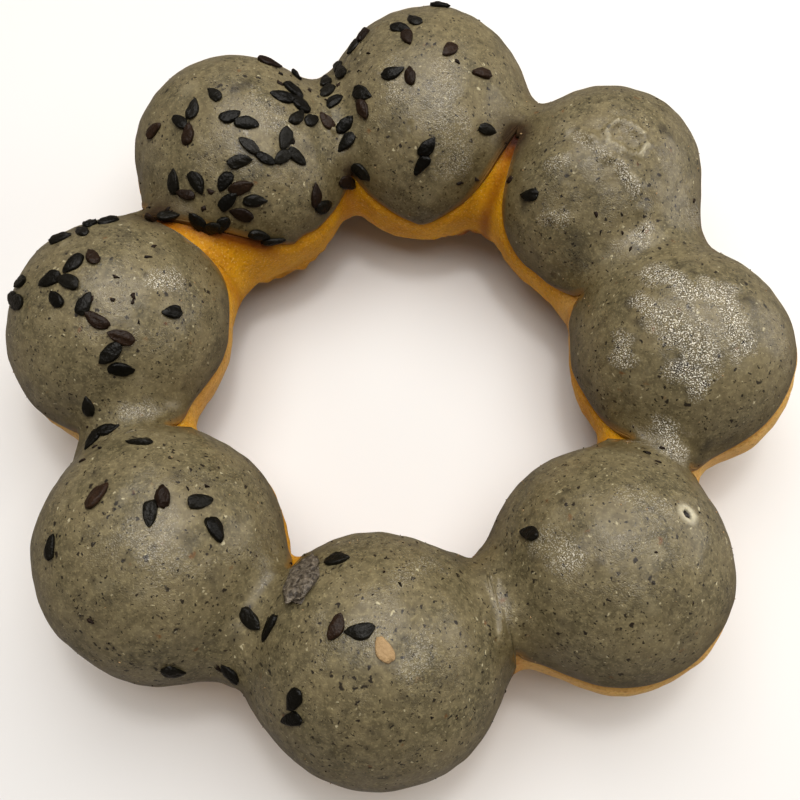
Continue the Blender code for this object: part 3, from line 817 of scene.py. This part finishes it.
def scatter(name, shapes, shades):
    """One mesh of many small shapes, each with its own shade for the material to read."""
    points, faces, tones, count = [], [], [], 0
    for (cloud_of_points, its_faces), shade in zip(shapes, shades):
        points.append(cloud_of_points)
        faces.extend([tuple(count + n for n in face) for face in its_faces])
        tones.append(np.full(len(cloud_of_points), shade))
        count += len(cloud_of_points)
    mesh = bpy.data.meshes.new(name)
    mesh.from_pydata((np.concatenate(points) * MM).tolist(), [], faces)
    mesh.shade_smooth()
    piece = bpy.data.objects.new(name, mesh)
    bpy.context.scene.collection.objects.link(piece)
    note(piece, "shade", np.concatenate(tones))
    return piece


def laid(shape, spot, heading, sizes, lift, rock):
    """A unit shape at its size, laid on the glaze and rocked a few degrees about its length."""
    points, faces = shape
    place, facing, pointed = frame_on_glaze(spot, heading)
    side = np.cross(facing, pointed)
    tipped = facing * math.cos(math.radians(rock)) + side * math.sin(math.radians(rock))
    side = np.cross(tipped, pointed)
    half = points * np.array(sizes) / 2.0
    moved = half[:, :1] * side + half[:, 1:2] * tipped + half[:, 2:] * pointed
    return place + facing * lift + moved, faces


bpy.context.view_layer.update()
seed_draw = np.random.default_rng(SEED_DRAW)
spots, headings, seed_sizes = sprinkle(SPRINKLES, seed_draw)
kinds_draw = np.random.default_rng(KINDS_DRAW)
seed_points, seed_faces = teardrop(rings=14, segments=24)
pale_spot = point_on(*PALE_SPRINKLE, GLAZE_BLEND)
by_kind = {"black": [], "brown": [], "pale": []}
for spot, heading, size in zip(spots, headings, seed_sizes):
    sizes = (SEED_WIDE * size * kinds_draw.uniform(0.88, 1.08), SEED_THICK * size, SEED_LONG * size)
    shape = (crumpled(seed_points, seed_draw), seed_faces)
    seed = laid(shape, spot, heading, sizes, SEED_LIFT, kinds_draw.normal(0.0, SEED_ROCK))
    kind = "brown" if kinds_draw.uniform() < BROWN_SHARE else "black"
    if np.linalg.norm(spot - pale_spot) < 0.5:
        kind = "pale"
    by_kind[kind].append(seed)


def seed_coat(name, dull, bright, roughness):
    """Seed coat: a matt skin with a faint oily sheen and fine wrinkles of 0.3 mm."""
    coat, tree, shader, place = started(name)
    shade = add(tree, "ShaderNodeAttribute", {}, attribute_name="shade").outputs["Fac"]
    wrinkle = add(tree, "ShaderNodeTexNoise", {"Vector": place, "Scale": 3.2 / MM, "Detail": 4.0})
    height = wrinkle.outputs["Fac"]
    mixed = add(tree, "ShaderNodeMath", {0: height, 1: shade}, operation="MULTIPLY").outputs[0]
    tree.links.new(washed(tree, linear(dull), [(mixed, bright)]), shader.inputs["Base Color"])
    shader.inputs["Roughness"].default_value = roughness
    shader.inputs["Specular IOR Level"].default_value = 0.14
    bump = add(tree, "ShaderNodeBump", {"Height": height, "Strength": 1.0, "Distance": 0.12 * MM})
    tree.links.new(bump.outputs["Normal"], shader.inputs["Normal"])
    return coat


# Each kind's coat: its name, dull and bright colour, and roughness.
COATS = {
    "black": ("black_sesame_coat", "#020201", "#1e1c16", 0.3),
    "brown": ("brown_sesame_coat", "#0a0503", "#3d2a1c", 0.36),
    "broken": ("broken_sesame_hull", "#080503", "#33231a", 0.5),
    "pale": ("hulled_sesame", "#8d7350", "#c4a67c", 0.5),
}
coats = {kind: seed_coat(*looks) for kind, looks in COATS.items()}
for kind, seeds in by_kind.items():
    shades = kinds_draw.uniform(0.2, 1.0, len(seeds))
    piece = scatter(f"{kind}_seeds", seeds, shades)
    piece.data.materials.append(coats[kind])
    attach(piece, "root")

# Broken seeds. Chips and hulls of black sesame that came with the whole seeds, and hulled pale
# crumbs. Half sunk in the glaze.
CHIP_THICK, CHIP_DRAW = 0.3, 23
# The middle of a chip lies this far above the glaze, and that of a fine crumb this far below it.
CHIP_LIFT, CRUMB_LIFT = 0.08, -0.02
# Where they lie: bearing, section angle, half spread of each, how many, and their length.
DARK_CHIPS = [
    (78.0, 92.0, 0.0, 0.0, 1, 1.6),
    (68.0, 150.0, 2.0, 3.0, 2, 1.6),
    (114.0, 84.0, 2.0, 4.0, 2, 1.5),
    (119.0, 127.0, 3.0, 4.0, 3, 1.4),
    (142.0, 123.0, 3.0, 4.0, 3, 1.5),
    (163.0, 111.0, 2.0, 2.0, 2, 1.4),
    (175.0, 101.0, 3.0, 4.0, 4, 1.5),
    (179.0, 112.0, 2.0, 3.0, 2, 1.3),
    (203.0, 83.0, 4.0, 6.0, 3, 1.2),
    (222.0, 118.0, 3.0, 3.0, 2, 1.3),
    (226.0, 48.0, 0.0, 0.0, 1, 1.5),
    (242.0, 38.0, 1.0, 1.0, 1, 2.2),
    (249.0, 131.0, 2.0, 2.0, 2, 1.2),
    (332.0, 110.0, 2.0, 4.0, 3, 1.5),
    (25.0, 114.0, 3.0, 4.0, 4, 0.9),
    (57.0, 141.0, 1.0, 2.0, 1, 2.0),
    (27.0, 51.0, 0.0, 0.0, 1, 1.2),
    (105.0, 92.0, 4.0, 12.0, 4, 1.3),
    (98.0, 86.0, 5.0, 9.0, 3, 1.0),
    (150.0, 96.0, 3.0, 10.0, 3, 1.3),
    (30.0, 127.0, 3.0, 3.0, 2, 1.2),
    (268.0, 116.0, 2.0, 2.0, 2, 1.1),
]
# Fine crumbs all over: how many, and how long at most.
FINE_DARK, FINE_DARK_LONG = 260, 0.75
FINE_PALE, FINE_PALE_LONG = 120, 0.5


def chip(draw, corners, long):
    """A flat splinter with an uneven outline, at its true size."""
    turns = np.sort(draw.uniform(0.0, 2.0 * math.pi, corners)) + np.linspace(0.0, 1.0, corners)
    outline = draw.uniform(0.5, 1.0, corners)
    slim = draw.uniform(0.25, 0.7)
    points = [(0.0, 0.9, 0.0)]
    for high, share in ((0.6, 0.75), (-1.0, 1.0)):
        for turn, out in zip(turns, outline):
            side, along = out * share * math.cos(turn) * slim, out * share * math.sin(turn)
            points.append((side, high * draw.uniform(0.6, 1.0), along))
    faces = []
    for j in range(corners):
        k = (j + 1) % corners
        faces += [(0, 1 + k, 1 + j), (1 + j, 1 + k, 1 + corners + k, 1 + corners + j)]
    faces.append(tuple(range(1 + corners, 1 + 2 * corners)))
    return np.array(points) * np.array([long / 2.0, CHIP_THICK / 2.0, long / 2.0]), faces


def glaze_places(draw, count):
    """Random spots on the glaze, more of them down its sides, none close to its edge."""
    at = draw.uniform(0.0, 360.0, count)
    low, high = np.interp(at, bearings, outer_edge), np.interp(at, bearings, hole_edge)
    across = draw.uniform(-0.93, 0.93, count)
    angle = (low + high) / 2.0 + (high - low) / 2.0 * np.sign(across) * np.abs(across) ** 0.8
    return skin(at, angle, GLAZE_BLEND, np.zeros(count))


chip_draw = np.random.default_rng(CHIP_DRAW)
# A chip is made at its true size, and laid() halves the sizes that it is given.
TRUE_SIZE = (2.0, 2.0, 2.0)
dark_chips, pale_chips = [], []
for bearing, angle, wide, tall, count, long in DARK_CHIPS:
    places, turned, bigness = sprinkle([(bearing, angle, wide, tall, count)], chip_draw)
    for place_on, heading, size in zip(places, turned, bigness):
        splinter = chip(chip_draw, 7, long * size)
        dark_chips.append(laid(splinter, place_on, heading, TRUE_SIZE, CHIP_LIFT, 0.0))
fine_kinds = [(FINE_DARK, FINE_DARK_LONG, dark_chips), (FINE_PALE, FINE_PALE_LONG, pale_chips)]
for how_many, long, kept in fine_kinds:
    for place_on in glaze_places(chip_draw, how_many):
        size = long * chip_draw.uniform(0.35, 1.0) ** 1.5
        heading = chip_draw.uniform(0.0, 360.0)
        crumb = chip(chip_draw, 6, size)
        kept.append(laid(crumb, place_on, heading, TRUE_SIZE, CRUMB_LIFT, 0.0))
for name, chips, coat in (("dark_chips", dark_chips, "broken"), ("pale_crumbs", pale_chips, "pale")):
    piece = scatter(name, chips, chip_draw.uniform(0.2, 1.0, len(chips)))
    piece.data.materials.append(coats[coat])
    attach(piece, "root")

# Clump of ground sesame. A flat lump of paste that hadn't mixed into the glaze, on the hole side
# of the near ball.
CLUMP_AT, CLUMP_HEADING, CLUMP_LIFT, CLUMP_DRAW = (250.5, 117.0), 222.0, 0.1, 31
CLUMP_SIZE = (3.7, 1.5, 6.4)  # wide, thick and long
clump_draw = np.random.default_rng(CLUMP_DRAW)
lump_points, lump_faces = teardrop(rings=26, segments=36)
rough = lump_points * 3.0
lumpiness = 1.0 + 0.14 * swells(rough, 3.0, clump_draw) + 0.1 * swells(rough, 1.1, clump_draw)
lump = (lump_points * lumpiness[:, None], lump_faces)
clump_spot = point_on(*CLUMP_AT, GLAZE_BLEND)
clump_shape = laid(lump, clump_spot, CLUMP_HEADING, CLUMP_SIZE, CLUMP_LIFT, 0.0)
clump = scatter("sesame_clump", [clump_shape], [1.0])
# Paste of ground sesame: brownish grey, rough, with oily glints, and crumbly over 0.4 mm.
paste, tree, shader, place = started("sesame_paste")
crumbly = add(tree, "ShaderNodeTexNoise", {
    "Vector": place, "Scale": 2.3 / MM, "Detail": 4.0,
}).outputs["Fac"]
ground = add(tree, "ShaderNodeMapRange", {
    "Value": crumbly, "From Min": 0.38, "From Max": 0.68,
}).outputs[0]
colour = washed(tree, linear("#332c24"), [(ground, "#7d7364")])
tree.links.new(colour, shader.inputs["Base Color"])
shader.inputs["Roughness"].default_value = 0.42
bump = add(tree, "ShaderNodeBump", {"Height": crumbly, "Strength": 1.0, "Distance": 0.4 * MM})
tree.links.new(bump.outputs["Normal"], shader.inputs["Normal"])
clump.data.materials.append(paste)
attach(clump, "root")

# Floor, light and camera. A plain pale sheet under soft light from above, seen from high up
# and close, as the photo was taken by hand.
CAMERA_HIGH_ANGLE = 67.9
CAMERA_DISTANCE = 114.5
CAMERA_ROLL = -0.5
LOOKED_AT = (0.4, -6.5, 12.5)
PIXELS_A_MM = 8.26
FRAME_PIXELS = 800
SENSOR = 36.0

bpy.ops.mesh.primitive_plane_add(size=3.0, location=(0.0, 0.0, 0.0))
floor = bpy.context.object
floor.name = "floor"
paper = bpy.data.materials.new("white_paper")
paper.use_nodes = True
paper.node_tree.nodes["Principled BSDF"].inputs["Base Color"].default_value = linear("#e6e7e8")
paper.node_tree.nodes["Principled BSDF"].inputs["Roughness"].default_value = 0.9
floor.visible_glossy = False
floor.data.materials.append(paper)

world = bpy.data.worlds.new("room")
bpy.context.scene.world = world
world.use_nodes = True
world.node_tree.nodes["Background"].inputs["Color"].default_value = linear("#ffeedd")
world.node_tree.nodes["Background"].inputs["Strength"].default_value = 0.2

# Lights: place and size in millimetres, power in watts. They all shine at the middle of the ring.
LIT_AT = (0.0, 0.0, 10.0)
LIGHTS = [
    ("soft_box", (30.0, 100.0, 400.0), 480.0, 2.25),
    ("lamp", (20.0, 50.0, 420.0), 60.0, 0.28),
    ("window", (450.0, 100.0, 150.0), 260.0, 0.7),
]
for name, place, size, power in LIGHTS:
    lamp = bpy.data.lights.new(name, "AREA")
    lamp.size = size * MM
    lamp.energy = power
    lamp.color = (1.0, 0.97, 0.93)
    light = bpy.data.objects.new(name, lamp)
    light.location = Vector(place) * MM
    aim = Vector(LIT_AT) * MM - light.location
    light.rotation_euler = aim.to_track_quat("-Z", "Y").to_euler()
    bpy.context.scene.collection.objects.link(light)

lens = bpy.data.cameras.new("camera")
lens.sensor_width = SENSOR
lens.lens = PIXELS_A_MM * CAMERA_DISTANCE / FRAME_PIXELS * SENSOR
lens.clip_start = 0.005
camera = bpy.data.objects.new("camera", lens)
rise = math.radians(CAMERA_HIGH_ANGLE)
back = Vector((0.0, -math.cos(rise), math.sin(rise)))
camera.location = (Vector(LOOKED_AT) + back * CAMERA_DISTANCE) * MM
upright = (-back).to_track_quat("-Z", "Y").to_matrix().to_4x4()
camera.rotation_euler = (upright @ Matrix.Rotation(math.radians(CAMERA_ROLL), 4, "Z")).to_euler()
bpy.context.scene.collection.objects.link(camera)
bpy.context.scene.camera = camera
bpy.context.scene.view_settings.view_transform = "Standard"
